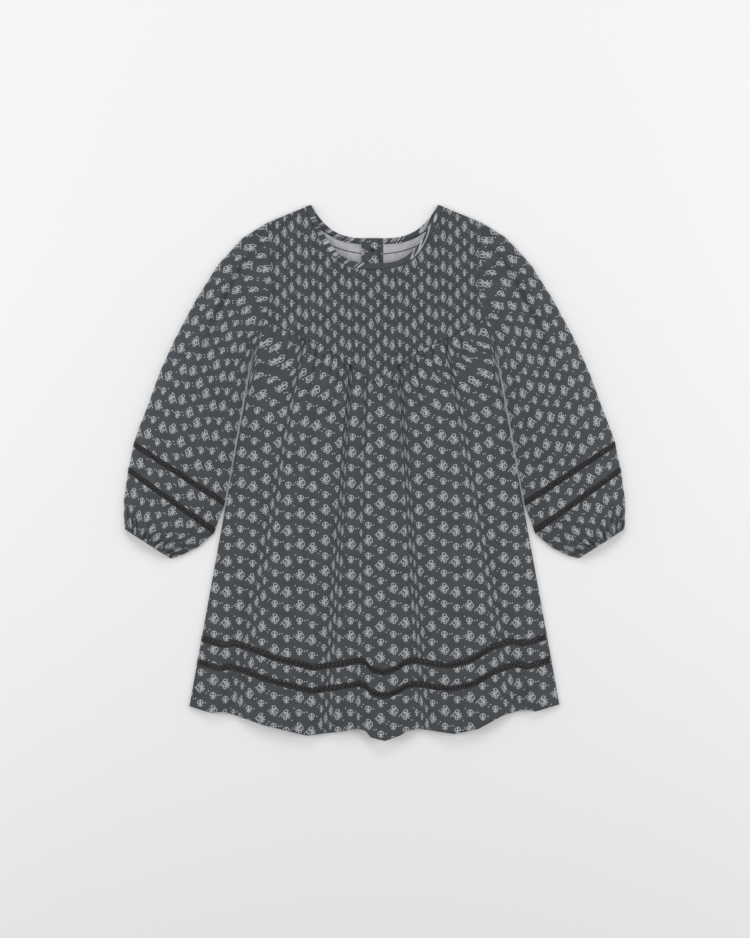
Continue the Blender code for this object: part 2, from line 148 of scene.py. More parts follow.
def bump(distance, half_width):
    """1 at the middle of a fold, 0 from its edges on."""
    return 0.5 + 0.5 * np.cos(np.pi * np.clip(np.abs(distance) / half_width, 0.0, 1.0))


def wander(value, seed, pitch):
    """A smooth uneven wave from -1 to 1, the same every time."""
    value = value / pitch + seed
    return (
        np.sin(value * 1.7 + 0.3 * seed)
        + 0.6 * np.sin(value * 3.1 + 1.3 * seed)
        + 0.4 * np.sin(value * 5.3 + 2.1 * seed)
    ) / 2.0


def neck_down(out, drop, power):
    return drop * (1 - np.minimum(1.0, np.abs(out) / NECK_HALF) ** power)


def neck_curve(drop, power, steps=240):
    outs = NECK_HALF * np.sin(np.linspace(0, math.pi / 2, steps + 1))
    return np.stack([outs, neck_down(outs, drop, power)], axis=1)


def moved_out(curve, distance):
    along = np.gradient(curve, axis=0)
    along /= np.linalg.norm(along, axis=1)[:, None]
    return curve + np.stack([-along[:, 1], along[:, 0]], axis=1) * distance


def shoulder_down(out):
    tip_out, tip_down = ARMHOLE[0]
    return tip_down * np.maximum(0.0, np.abs(out) - NECK_HALF) / (tip_out - NECK_HALF)


def side_out(down):
    """The body's half width: the armhole, then the side seam."""
    seam = ARMHOLE[-1, 0] + (down - ARMHOLE[-1, 1]) * SIDE_FLARE
    return np.where(down > ARMHOLE[-1, 1], seam, np.interp(down, ARMHOLE[:, 1], ARMHOLE[:, 0]))


def yoke_seam_down(out):
    return np.interp(np.abs(out), YOKE_SEAM[:, 0], YOKE_SEAM[:, 1])


def lift(x, down):
    """How far the front stands off the back before its folds."""
    foot = np.maximum(SLOPE_FOOT, side_out(down) - SEAM)
    side = (foot - np.abs(x)) / SIDE_SLOPE
    shoulder = (down - shoulder_down(x)) / SHOULDER_SLOPE
    return LIFT * np.clip(np.minimum(side, shoulder), 0.0, 1.0)


def meet(line, half_out):
    """Where a column meets a line of the pattern."""
    down = line(half_out(np.array(0.0)))
    for _ in range(8):
        down = line(half_out(down))
    return down


def grid_object(name, columns, rows, shape, materials, thickness=THREAD_THIN, round_tube=False):
    """A thin shell: shape(across -1..1, along 0..1) gives x, down, z, u, v for every vertex."""
    bm = bmesh.new()
    bmesh.ops.create_grid(bm, x_segments=columns, y_segments=rows, size=1.0)
    bm.verts.index_update()
    across = np.array([vertex.co.x for vertex in bm.verts])
    along = (np.array([vertex.co.y for vertex in bm.verts]) + 1) / 2
    x, down, z, u, v = shape(across, along)
    for vertex, place in zip(bm.verts, np.stack([x, TOP_Y - down, z], axis=1)):
        vertex.co = place
    layer = bm.loops.layers.uv.new("cloth")
    for face in bm.faces:
        for loop in face.loops:
            number = loop.vert.index
            loop[layer].uv = (u[number], v[number])
    if round_tube:
        bmesh.ops.remove_doubles(bm, verts=bm.verts[:], dist=0.000002)
        bmesh.ops.recalc_face_normals(bm, faces=bm.faces[:])
    return cloth_object(name, bm, materials, thickness)


def cloth_object(name, bm, materials, thickness):
    """A mesh made an object, shaded smooth; a thickness makes it a wall whose inside is the wrong side."""
    mesh = bpy.data.meshes.new(name)
    bm.to_mesh(mesh)
    bm.free()
    mesh.shade_smooth()
    for material in materials:
        mesh.materials.append(material)
    made = bpy.data.objects.new(name, mesh)
    scene.collection.objects.link(made)
    if thickness:
        wall = made.modifiers.new("thickness", "SOLIDIFY")
        wall.thickness = thickness
        wall.offset = -1.0
        wall.material_offset = 1 if len(materials) > 1 else 0
    return made


def sewn(piece, node, area=None):
    """Puts a sheet of the dress in the one body and hides its part from model.glb; the size it was cut to
    (area) is not used.
    """
    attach(piece, "root")
    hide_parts(node)


# The cotton's print is a half-drop of two small sprigs in upright columns, with specks between. It is
# drawn by formula from strokes and petal outlines, in the cloth's own millimetres.
COLUMN_PITCH_MM = 13.6
SPRIG_REPEAT_MM = 33.0
GROUND = (0.058, 0.064, 0.071)
PRINT = (0.44, 0.455, 0.475)
WEAVE_PITCH_MM = 0.45


def group(name, inputs, outputs):
    """An empty shader node group with named sockets."""
    made = bpy.data.node_groups.new(name, "ShaderNodeTree")
    for label, kind, value in inputs:
        socket = made.interface.new_socket(label, in_out="INPUT", socket_type=kind)
        if value is not None:
            socket.default_value = value
    for label, kind in outputs:
        made.interface.new_socket(label, in_out="OUTPUT", socket_type=kind)
    return made, made.nodes.new("NodeGroupInput"), made.nodes.new("NodeGroupOutput")


def maths(tree, operation, *values):
    """A Math node; each value is a number or a socket."""
    node = tree.nodes.new("ShaderNodeMath")
    node.operation = operation
    for place, value in enumerate(values):
        if isinstance(value, (int, float)):
            node.inputs[place].default_value = value
        else:
            tree.links.new(value, node.inputs[place])
    return node.outputs[0]


def turned(tree, u, v, degrees):
    """Coordinates turned about the origin."""
    c, s = math.cos(math.radians(degrees)), math.sin(math.radians(degrees))
    along = maths(tree, "MULTIPLY_ADD", u, c, maths(tree, "MULTIPLY", v, s))
    across = maths(tree, "MULTIPLY_ADD", v, c, maths(tree, "MULTIPLY", u, -s))
    return along, across


def soft_step(tree, value, edge, width):
    """1 below the edge, 0 above it."""
    node = tree.nodes.new("ShaderNodeMapRange")
    node.interpolation_type = "SMOOTHSTEP"
    tree.links.new(value, node.inputs["Value"])
    node.inputs["From Min"].default_value = edge - width
    node.inputs["From Max"].default_value = edge + width
    node.inputs["To Min"].default_value = 1.0
    node.inputs["To Max"].default_value = 0.0
    return node.outputs["Result"]


def petal_outline(tree, u, v, at, degrees, half_long, half_wide, line):
    """The outline of one oval petal."""
    du = maths(tree, "SUBTRACT", u, at[0])
    dv = maths(tree, "SUBTRACT", v, at[1])
    along, across = turned(tree, du, dv, degrees)
    radius = maths(
        tree,
        "SQRT",
        maths(
            tree,
            "ADD",
            maths(tree, "POWER", maths(tree, "DIVIDE", along, half_long), 2.0),
            maths(tree, "POWER", maths(tree, "DIVIDE", across, half_wide), 2.0),
        ),
    )
    off = maths(tree, "ABSOLUTE", maths(tree, "SUBTRACT", radius, 1.0))
    off = maths(tree, "MULTIPLY", off, (half_long + half_wide) / 2)
    return soft_step(tree, off, line / 2, 0.18)


def stroke(tree, u, v, at, degrees, long, line):
    """A short brush stroke that starts at a point."""
    du = maths(tree, "SUBTRACT", u, at[0])
    dv = maths(tree, "SUBTRACT", v, at[1])
    along, across = turned(tree, du, dv, degrees)
    past = maths(tree, "ABSOLUTE", maths(tree, "SUBTRACT", along, long / 2))
    past = maths(tree, "MAXIMUM", maths(tree, "SUBTRACT", past, long / 2), 0.0)
    off = maths(
        tree,
        "SQRT",
        maths(
            tree,
            "ADD",
            maths(tree, "POWER", past, 2.0),
            maths(tree, "POWER", across, 2.0),
        ),
    )
    return soft_step(tree, off, line / 2, 0.18)


def together(tree, masks):
    mask = masks[0]
    for other in masks[1:]:
        mask = maths(tree, "MAXIMUM", mask, other)
    return mask


BIG_SPRIG_PETALS = (
    # place, degrees, half length, half width
    ((-3.1, 0.6), 70, 2.3, 1.5),
    ((-0.4, 4.3), 20, 2.2, 1.4),
    ((-1.2, -3.6), 150, 1.6, 1.2),
)
BIG_SPRIG_STROKES = (
    # place, degrees, length
    ((0.6, 0.3), 75, 3.2),
    ((0.9, 0.2), 30, 3.4),
    ((0.9, -0.3), -12, 3.6),
    ((0.6, -0.7), -48, 3.6),
    ((0.1, -0.8), -84, 3.2),
    ((0.2, 0.4), 118, 2.2),
)
SMALL_SPRIG_PETALS = (
    ((-1.6, 1.6), 50, 1.9, 1.3),
    ((1.5, 1.9), 130, 1.9, 1.3),
)
SMALL_SPRIG_STROKES = (
    ((0.0, 0.2), -90, 3.6),
    ((0.1, -0.2), -50, 2.8),
    ((-0.1, -0.2), -130, 2.8),
    ((0.0, 1.2), 90, 2.6),
)
SPECKS = (
    # place in the repeat
    (5.6, 9.4),
    (-5.9, -7.2),
    (6.3, -13.2),
    (-5.2, 14.0),
)
STROKE_LINE = 1.05
PETAL_LINE = 0.85

sprigs, sprigs_in, sprigs_out = group(
    "Sprig print",
    [("Cloth", "NodeSocketVector", None)],
    [("Print", "NodeSocketFloat"), ("Tone", "NodeSocketFloat")],
)
split = sprigs.nodes.new("ShaderNodeSeparateXYZ")
sprigs.links.new(sprigs_in.outputs["Cloth"], split.inputs[0])
u_mm = maths(sprigs, "MULTIPLY", split.outputs["X"], 1000.0)
v_mm = maths(sprigs, "MULTIPLY", split.outputs["Y"], 1000.0)
column = maths(sprigs, "FLOOR", maths(sprigs, "DIVIDE", u_mm, COLUMN_PITCH_MM))
in_column = maths(sprigs, "SUBTRACT", u_mm, maths(sprigs, "MULTIPLY", column, COLUMN_PITCH_MM))
in_column = maths(sprigs, "SUBTRACT", in_column, COLUMN_PITCH_MM / 2)
odd = maths(sprigs, "FLOORED_MODULO", column, 2.0)
third = maths(sprigs, "FLOORED_MODULO", column, 3.0)
drop = maths(sprigs, "MULTIPLY", odd, 0.31 * SPRIG_REPEAT_MM)
drop = maths(sprigs, "MULTIPLY_ADD", third, 0.44 * SPRIG_REPEAT_MM, drop)
fallen = maths(sprigs, "ADD", v_mm, drop)
in_repeat = maths(sprigs, "FLOORED_MODULO", fallen, SPRIG_REPEAT_MM)
# mirror every other column
sign = maths(sprigs, "MULTIPLY_ADD", odd, -2.0, 1.0)
mirrored = maths(sprigs, "MULTIPLY", in_column, sign)
big_v = maths(sprigs, "SUBTRACT", in_repeat, 0.27 * SPRIG_REPEAT_MM)
small_v = maths(sprigs, "SUBTRACT", in_repeat, 0.76 * SPRIG_REPEAT_MM)
masks = [petal_outline(sprigs, mirrored, big_v, *row, PETAL_LINE) for row in BIG_SPRIG_PETALS]
masks += [stroke(sprigs, mirrored, big_v, *row, STROKE_LINE) for row in BIG_SPRIG_STROKES]
masks += [petal_outline(sprigs, mirrored, small_v, *row, PETAL_LINE) for row in SMALL_SPRIG_PETALS]
masks += [stroke(sprigs, mirrored, small_v, *row, STROKE_LINE) for row in SMALL_SPRIG_STROKES]
centred = maths(sprigs, "SUBTRACT", in_repeat, SPRIG_REPEAT_MM / 2)
masks += [stroke(sprigs, in_column, centred, at, 0, 0.05, 1.3) for at in SPECKS]
printed = together(sprigs, masks)
# the ink is thinner in places
ink = sprigs.nodes.new("ShaderNodeTexNoise")
ink.inputs["Scale"].default_value = 900.0
ink.inputs["Detail"].default_value = 2.0
sprigs.links.new(sprigs_in.outputs["Cloth"], ink.inputs["Vector"])
patchy = maths(sprigs, "MULTIPLY_ADD", ink.outputs["Fac"], 0.7, 0.55)
sprigs.links.new(
    maths(sprigs, "MINIMUM", maths(sprigs, "MULTIPLY", printed, patchy), 1.0),
    sprigs_out.inputs["Print"],
)
cloudy = sprigs.nodes.new("ShaderNodeTexNoise")
cloudy.inputs["Scale"].default_value = 60.0
sprigs.links.new(sprigs_in.outputs["Cloth"], cloudy.inputs["Vector"])
sprigs.links.new(cloudy.outputs["Fac"], sprigs_out.inputs["Tone"])

# Plain weave: warp over weft, one thread about half a millimetre
weave, weave_in, weave_out = group(
    "Plain weave",
    [("Cloth", "NodeSocketVector", None), ("Pitch mm", "NodeSocketFloat", WEAVE_PITCH_MM)],
    [("Height", "NodeSocketFloat")],
)
weave_split = weave.nodes.new("ShaderNodeSeparateXYZ")
weave.links.new(weave_in.outputs["Cloth"], weave_split.inputs[0])
waves = []
for axis in ("X", "Y"):
    turns = maths(
        weave,
        "DIVIDE",
        maths(weave, "MULTIPLY", weave_split.outputs[axis], 1000.0 * math.pi),
        weave_in.outputs["Pitch mm"],
    )
    waves.append(maths(weave, "SINE", turns))
weave.links.new(
    maths(weave, "MULTIPLY_ADD", maths(weave, "MULTIPLY", waves[0], waves[1]), 0.5, 0.5),
    weave_out.inputs["Height"],
)


def mixed(tree, factor, first, second, blend="MIX"):
    """A colour mix; first and second are colours or sockets."""
    node = tree.nodes.new("ShaderNodeMix")
    node.data_type = "RGBA"
    node.blend_type = blend
    sockets = (node.inputs["Factor"], node.inputs["A"], node.inputs["B"])
    sockets = (node.inputs[0], node.inputs[6], node.inputs[7])
    for socket, value in zip(sockets, (factor, first, second)):
        if isinstance(value, (int, float)):
            socket.default_value = value
        elif isinstance(value, tuple):
            socket.default_value = (*value, 1.0)
        else:
            tree.links.new(value, socket)
    return node.outputs[2]


def cotton(name, ground, ink_colour, print_share, weave_depth=0.00006):
    """Woven cotton with the sprig print; print_share below 1 lets it only show through."""
    material = bpy.data.materials.new(name)
    material.use_nodes = True
    tree = material.node_tree
    shader = tree.nodes["Principled BSDF"]
    shader.inputs["Sheen Weight"].default_value = 0.12
    shader.inputs["Sheen Roughness"].default_value = 0.45
    shader.inputs["Specular IOR Level"].default_value = 0.25
    uv = tree.nodes.new("ShaderNodeUVMap")
    uv.uv_map = "cloth"
    print_node = tree.nodes.new("ShaderNodeGroup")
    print_node.node_tree = sprigs
    tree.links.new(uv.outputs["UV"], print_node.inputs["Cloth"])
    tone = maths(tree, "MULTIPLY_ADD", print_node.outputs["Tone"], 0.5, 0.75)
    base = mixed(tree, 1.0, ground, tone, "MULTIPLY")
    share = maths(tree, "MULTIPLY", print_node.outputs["Print"], print_share)
    colour = mixed(tree, share, base, ink_colour)
    threads = tree.nodes.new("ShaderNodeGroup")
    threads.node_tree = weave
    tree.links.new(uv.outputs["UV"], threads.inputs["Cloth"])
    # painted shade: the colour is darkened in the low places between the threads and lightened on their tops
    weave_shade = maths(tree, "MULTIPLY_ADD", threads.outputs["Height"], 0.22, 0.89)
    colour = mixed(tree, 1.0, colour, weave_shade, "MULTIPLY")
    tree.links.new(colour, shader.inputs["Base Color"])
    rough = maths(tree, "MULTIPLY_ADD", threads.outputs["Height"], -0.1, 0.9)
    tree.links.new(rough, shader.inputs["Roughness"])
    relief = tree.nodes.new("ShaderNodeBump")
    relief.inputs["Strength"].default_value = 0.5
    relief.inputs["Distance"].default_value = weave_depth
    tree.links.new(threads.outputs["Height"], relief.inputs["Height"])
    tree.links.new(relief.outputs["Normal"], shader.inputs["Normal"])
    return material


printed_cotton = cotton("printed_cotton", GROUND, PRINT, 1.0)
WRONG_SIDE = (0.40, 0.40, 0.42)
wrong_side = cotton("cotton_wrong_side", WRONG_SIDE, (0.52, 0.52, 0.54), 0.5)

front_bound = moved_out(neck_curve(FRONT_NECK_DROP, FRONT_NECK_POWER), BINDING_WIDTH + CURVED_SEAM)
back_bound = moved_out(neck_curve(BACK_NECK_DROP, BACK_NECK_POWER), BINDING_WIDTH + CURVED_SEAM)


def yoke_top(bound):
    """The yoke's upper edge: under the binding, then along the shoulder."""

    def line(out):
        neck = np.interp(out, bound[:, 0], bound[:, 1])
        return np.where(out >= bound[-1, 0], shoulder_down(out), np.maximum(neck, shoulder_down(out)))

    return line


def shirring(x, down):
    """Height of the puckered surface, 0 in the creases to 1 on the puckers."""
    row_place = (down - SHIRRING_FIRST) / SHIRRING_PITCH
    row = np.floor(row_place)
    between = np.abs(np.sin(np.pi * row_place))
    shift = 0.0005 * wander(down, 1.7, 0.012) + 0.0007 * wander(x * 3 + row * 0.11, 0.6, 0.02)
    pucker = np.abs(np.cos(np.pi * (x + shift) / PUCKER_PITCH)) ** 0.8
    uneven = 1.0 + 0.35 * wander(x * 5 + row * 0.37, 2.4, 0.02)
    return pucker * (0.45 + 0.55 * between ** 0.7) * uneven, between


def front_yoke_shape(across, along):
    def out(down):
        return np.abs(across) * (side_out(down) - SEAM)

    top = meet(yoke_top(front_bound), out)
    low = meet(yoke_seam_down, out) - SEAM / 2
    down = low + (top - low) * along
    x = np.sign(across) * out(down)
    height, between = shirring(x, down)
    z = 2 * CLOTH + SEAM + lift(x, down) + PUCKER_HEIGHT * height - SHIRRING_DIP * (1 - between) ** 6
    edge = smooth((side_out(down) - np.abs(x)) / 0.004)
    z -= 0.0006 * (1 - edge)
    return x, down, z, x * YOKE_FULLNESS, -down


front_yoke = grid_object(
    "front_yoke_cloth", 420, 96, front_yoke_shape, (printed_cotton, wrong_side)
)
sewn(
    front_yoke, "yoke_front",
    area=0.0405,
)

# Front skirt
# One wide panel, pleated by hand into the pointed yoke seam. It falls in two deep folds beside the
# centre and two softer ones outside them, with short gathers between that fade out below the seam.
SKIRT_FALL = np.array([
    # share of the columns, out at the top, out at the hem
    (0.00, 0.0000, 0.000), (0.27, 0.0265, 0.054), (0.72, 0.0770, 0.150),
    (0.92, 0.1190, 0.190), (1.00, 0.1310, 0.200),
])
HEM = np.array([
    # across, down
    (-0.200, 0.5410), (-0.176, 0.5480), (-0.163, 0.5465), (-0.121, 0.5605), (-0.072, 0.5724),
    (-0.044, 0.5690), (-0.018, 0.5648), (-0.010, 0.5670), (-0.004, 0.5740), (0.011, 0.5778),
    (0.027, 0.5725), (0.036, 0.5670), (0.047, 0.5650), (0.086, 0.5704), (0.112, 0.5650),
    (0.138, 0.5510), (0.162, 0.5440), (0.173, 0.5465), (0.200, 0.5390),
])
LACE_UPPER = (0.0697, 0.0763)
LACE_LOWER = (0.0447, 0.0513)
FOLD_MIDDLE = 0.40
SKIRT_FOLDS = (
    # hem place, half width top, middle, hem, strength top, middle, hem, cloth hidden in it
    (-0.0530, 0.0050, 0.0105, 0.0190, 0.60, 1.00, 0.80, 0.026),
    (0.0540, 0.0050, 0.0110, 0.0190, 0.60, 1.00, 0.80, 0.026),
    (-0.1500, 0.0050, 0.0110, 0.0210, 0.40, 0.72, 0.85, 0.016),
    (0.1500, 0.0050, 0.0110, 0.0210, 0.40, 0.72, 0.85, 0.016),
    (-0.0190, 0.0030, 0.0050, 0.0100, 0.45, 0.30, 0.45, 0.008),
)
SKIRT_RIDGES = (
    # hem place, half width top, middle, hem, height top, middle, hem
    (0.0090, 0.0120, 0.0220, 0.0320, 0.0010, 0.0026, 0.0034),
    (-0.0960, 0.0150, 0.0280, 0.0420, 0.0010, 0.0024, 0.0026),
    (0.0980, 0.0150, 0.0280, 0.0420, 0.0010, 0.0024, 0.0026),
    (-0.1790, 0.0060, 0.0120, 0.0180, 0.0004, 0.0012, 0.0014),
    (0.1790, 0.0060, 0.0120, 0.0180, 0.0004, 0.0012, 0.0014),
)
SHORT_GATHERS = (
    # out at the seam, half width, depth, how far down it runs
    (-0.0068, 0.0022, 0.0026, 0.110), (0.0180, 0.0022, 0.0022, 0.075),
    (-0.0255, 0.0026, 0.0024, 0.140), (0.0262, 0.0026, 0.0024, 0.150),
    (-0.0135, 0.0016, 0.0010, 0.045), (0.0085, 0.0016, 0.0010, 0.050),
    (-0.0320, 0.0022, 0.0026, 0.070), (0.0315, 0.0020, 0.0022, 0.080),
    (-0.0385, 0.0020, 0.0020, 0.090), (0.0375, 0.0022, 0.0024, 0.060),
    (-0.0455, 0.0024, 0.0026, 0.085), (0.0445, 0.0022, 0.0026, 0.095),
    (-0.0535, 0.0020, 0.0018, 0.060), (0.0520, 0.0020, 0.0018, 0.055),
    (-0.0615, 0.0024, 0.0026, 0.115), (0.0610, 0.0024, 0.0024, 0.105),
    (-0.0680, 0.0018, 0.0014, 0.050), (0.0690, 0.0018, 0.0014, 0.060),
    (-0.0745, 0.0024, 0.0026, 0.100), (0.0755, 0.0026, 0.0028, 0.110),
    (-0.0820, 0.0022, 0.0020, 0.070), (0.0830, 0.0020, 0.0018, 0.060),
    (-0.0905, 0.0022, 0.0022, 0.080), (0.0910, 0.0024, 0.0022, 0.085),
    (-0.0990, 0.0020, 0.0012, 0.050), (0.0985, 0.0020, 0.0012, 0.050),
    (-0.1070, 0.0022, 0.0016, 0.065), (0.1075, 0.0022, 0.0014, 0.060),
)
CREASES = (
    # hem place, start and end as shares of the way down, half width, depth
    (-0.1260, 0.30, 0.62, 0.0014, 0.0007),
    (0.1270, 0.28, 0.60, 0.0014, 0.0007),
    (-0.0820, 0.10, 0.42, 0.0020, 0.0007),
    (0.0700, 0.12, 0.38, 0.0020, 0.0006),
    (0.1120, 0.08, 0.34, 0.0022, 0.0007),
    (-0.1080, 0.06, 0.30, 0.0022, 0.0008),
    (0.0240, 0.30, 0.95, 0.0040, 0.0009),
    (-0.1790, 0.15, 0.50, 0.0030, 0.0007),
)


def over_height(t, top, middle, hem):
    return np.interp(t, (0.0, FOLD_MIDDLE, 1.0), (top, middle, hem))


def fold_top(hem_place):
    return math.copysign(float(np.interp(abs(hem_place), SKIRT_FALL[:, 2], SKIRT_FALL[:, 1])), hem_place)


def fold_place(hem_place, t):
    top = fold_top(hem_place)
    return top + (hem_place - top) * t


def skirt_line(share):
    """Where a column of the skirt starts and ends."""
    side = np.sign(share)
    top = side * np.interp(np.abs(share), SKIRT_FALL[:, 0], SKIRT_FALL[:, 1])
    hem = side * np.interp(np.abs(share), SKIRT_FALL[:, 0], SKIRT_FALL[:, 2])
    return top, hem


def skirt_folds(x, down, t):
    """Outer side of the front skirt above the back, and how far its troughs are sunk, 0 to 1."""
    base = lift(x, down)
    edge = smooth((side_out(down) - np.abs(x)) / (0.5 * SIDE_SLOPE))
    for place, *sizes in SKIRT_RIDGES:
        width = over_height(t, *sizes[:3])
        base = base + edge * over_height(t, *sizes[3:]) * bump(x - fold_place(place, t), width)
    keep = np.ones_like(x)
    for place, w0, w1, w2, s0, s1, s2, _ in SKIRT_FOLDS:
        width = over_height(t, w0, w1, w2)
        keep = keep * (1 - over_height(t, s0, s1, s2) * bump(x - fold_place(place, t), width))
    base = base * keep
    for out, width, depth, run in SHORT_GATHERS:
        hem_place = math.copysign(float(np.interp(abs(out), SKIRT_FALL[:, 1], SKIRT_FALL[:, 2])), out)
        reach = run / 0.40
        fade = 1 - smooth(t / reach)
        spread = width * (1 + 1.4 * t / reach)
        start = smooth(0.35 + t / 0.02)
        trough = depth * fade * start * bump(x - fold_place(hem_place, t), spread)
        base = base - np.minimum(trough, base * 0.85)
    for place, start, end, width, depth in CREASES:
        along = bump(t - (start + end) / 2, (end - start) / 2)
        base = base - depth * along * bump(x - fold_place(place, t), width)
    base = base + 0.0012 * edge * (1 - smooth(t / 0.22)) * (keep - 0.3)
    return np.maximum(base, 0.0), 1 - keep


def skirt_print(x, t):
    """The cut cloth's own crosswise place: cloth hidden in folds is used up there."""
    place = x.copy()
    used = np.zeros_like(x)
    for hem_place, w0, w1, w2, _, _, _, hidden in SKIRT_FOLDS:
        half = over_height(t, w0, w1, w2) * 0.6
        centre = fold_place(hem_place, t)
        used = used + hidden * (smooth((x - centre) / (2 * half) + 0.5) - (centre < 0))
    for out, half, depth, run in SHORT_GATHERS:
        hem_place = math.copysign(float(np.interp(abs(out), SKIRT_FALL[:, 1], SKIRT_FALL[:, 2])), out)
        centre = fold_place(hem_place, t)
        hidden = 2.2 * depth * (1 - smooth(t * 0.40 / run))
        used = used + hidden * (smooth((x - centre) / (2.4 * half) + 0.5) - (centre < 0))
    return x + used


def skirt_shape(lower, upper, floor_height=None):
    """A stretch of the skirt between two distances above the hem; upper None is the yoke seam."""

    def shape(across, along):
        top_out, hem_out = skirt_line(across)
        start = yoke_seam_down(top_out) + SEAM / 2
        end = np.interp(hem_out, HEM[:, 0], HEM[:, 1])
        low = end - lower - (SEAM / 2 if lower else 0.0)
        high = start if upper is None else end - upper + SEAM / 2
        down = high + (low - high) * (1 - along)
        t = (down - start) / (end - start)
        x = top_out + (hem_out - top_out) * t
        x = np.sign(x) * np.minimum(np.abs(x), side_out(down) - SEAM)
        if floor_height is None:
            base, _ = skirt_folds(x, down, t)
            roll = 0.0005 * (1 - smooth((side_out(down) - np.abs(x)) / 0.003))
            z = 2 * CLOTH + SEAM + base - roll
            if not lower:
                z = z + 0.0004 * smooth((down - low + 0.0035) / 0.002)
        else:
            z = np.full_like(x, floor_height)
            shrink = 1 - 0.0015 * smooth(t) / side_out(down)
            x = x * shrink
            down = down - 0.0015 * smooth((t - 0.5) * 2)
        u = skirt_print(x, np.clip(t, 0.0, 1.0)) * (1 + 0.03 * (1 - t))
        return x, down, z, u, 0.002 - down

    return shape


front_skirt = grid_object(
    "front_skirt_cloth", 300, 130, skirt_shape(LACE_UPPER[1], None), (printed_cotton, wrong_side)
)
sewn(front_skirt, "skirt_front", area=0.135)

# Lace insertions, the band between them and the hem band of the front
# Two narrow strips of cotton lace let into the cloth, with a band of the print between them and a
# deeper one below, turned up once at the hem.
front_band = grid_object(
    "front_band_cloth", 300, 8, skirt_shape(LACE_LOWER[1], LACE_UPPER[0]), (printed_cotton, wrong_side)
)
sewn(front_band, "skirt_front_band")
front_hem = grid_object(
    "front_hem_cloth", 300, 22, skirt_shape(0.0, LACE_LOWER[0]), (printed_cotton, wrong_side)
)
sewn(front_hem, "skirt_front_hem")

LACE_COLOUR = (0.034, 0.031, 0.030)
LACE_REPEAT = 0.0052


def plain_thread(name, colour, roughness):
    """Cotton yarn: dark, matt, a little uneven along its length."""
    material = bpy.data.materials.new(name)
    material.use_nodes = True
    tree = material.node_tree
    shader = tree.nodes["Principled BSDF"]
    shader.inputs["Sheen Weight"].default_value = 0.1
    shader.inputs["Specular IOR Level"].default_value = 0.2
    place = tree.nodes.new("ShaderNodeTexCoord")
    uneven = tree.nodes.new("ShaderNodeTexNoise")
    uneven.inputs["Scale"].default_value = 700.0
    tree.links.new(place.outputs["Object"], uneven.inputs["Vector"])
    tone = maths(tree, "MULTIPLY_ADD", uneven.outputs["Fac"], 1.1, 0.45)
    tree.links.new(mixed(tree, 1.0, colour, tone, "MULTIPLY"), shader.inputs["Base Color"])
    rough = maths(tree, "MULTIPLY_ADD", uneven.outputs["Fac"], 0.15, roughness)
    tree.links.new(rough, shader.inputs["Roughness"])
    relief = tree.nodes.new("ShaderNodeBump")
    relief.inputs["Strength"].default_value = 0.4
    relief.inputs["Distance"].default_value = 0.0002
    tree.links.new(uneven.outputs["Fac"], relief.inputs["Height"])
    tree.links.new(relief.outputs["Normal"], shader.inputs["Normal"])
    return material


lace_thread = plain_thread("lace_thread", LACE_COLOUR, 0.75)


def yarn(bm, points, radius, sides=5, closed=False):
    """A yarn along points: a ring of vertices extruded from point to point and skinned."""
    points = np.asarray(points)
    ahead = np.gradient(points, axis=0)
    if closed:
        ahead = np.roll(points, -1, axis=0) - np.roll(points, 1, axis=0)
    ahead /= np.maximum(np.linalg.norm(ahead, axis=1), 1e-9)[:, None]
    rings = []
    for point, way in zip(points, ahead):
        flat = np.cross(way, (0.0, 0.0, 1.0))
        flat /= max(np.linalg.norm(flat), 1e-9)
        up = np.cross(flat, way)
        ring = []
        for side in range(sides):
            turn = math.tau * side / sides
            ring.append(bm.verts.new(point + radius * (math.cos(turn) * flat + math.sin(turn) * up)))
        rings.append(ring)
    pairs = list(zip(rings, rings[1:]))
    if closed:
        pairs.append((rings[-1], rings[0]))
    for first, second in pairs:
        for side in range(sides):
            after = (side + 1) % sides
            bm.faces.new((first[side], first[after], second[after], second[side]))
    if not closed:
        bm.faces.new(rings[0][::-1])
        bm.faces.new(rings[-1])


def lace_strip(name, surface, length, width):
    """Openwork lace: two edge cords, a row of rings between them and short bars that hold them.

    surface(distance along, share across -1..1) gives the point that it is made over.
    """
    bm = bmesh.new()
    count = max(4, round(length / LACE_REPEAT))
    for edge in (-0.93, -0.62, 0.62, 0.93):
        steps = count * 2
        points = [surface(i / steps, edge) for i in range(steps + 1)]
        yarn(bm, points, 0.00042 if abs(edge) > 0.8 else 0.00032, 4)
    for i in range(count):
        middle = (i + 0.5) / count
        ring = []
        for turn in range(8):
            angle = math.tau * turn / 8
            ring.append(surface(middle + 0.36 / count * math.cos(angle), 0.46 * math.sin(angle)))
        yarn(bm, ring, 0.00036, 4, closed=True)
        bar = [surface(i / count, share) for share in (-0.9, -0.3, 0.3, 0.9)]
        yarn(bm, bar, 0.00034, 4)
    bmesh.ops.recalc_face_normals(bm, faces=bm.faces[:])
    return cloth_object(name, bm, (lace_thread,), 0.0)


def skirt_lace_surface(lower, upper, back):
    """A point of the skirt between two distances above the hem."""
    shape = skirt_shape(lower, upper, 0.0006 if back else None)

    def surface(along, across):
        x, down, z, _, _ = shape(np.array([2 * along - 1.0]), np.array([(1 - across) / 2]))
        return np.array((x[0], TOP_Y - down[0], z[0] - (0.0 if back else 0.0003)))

    return surface


for label, (lower, upper) in (("upper", LACE_UPPER), ("lower", LACE_LOWER)):
    strip = lace_strip(f"front_lace_{label}", skirt_lace_surface(lower, upper, False), 0.41, upper - lower)
    sewn(strip, f"skirt_front_lace_{label}")
    strip = lace_strip(f"back_lace_{label}", skirt_lace_surface(lower, upper, True), 0.41, upper - lower)
    sewn(strip, f"skirt_back_lace_{label}")

# Back skirt and back yoke
# The back lies flat on the table under the front. Its printed side is down and its pale wrong side up,
# which shows inside the neck with the dark rows of elastic thread.
BACK_UNDER = 0.00005
BACK_WALL = 0.0009


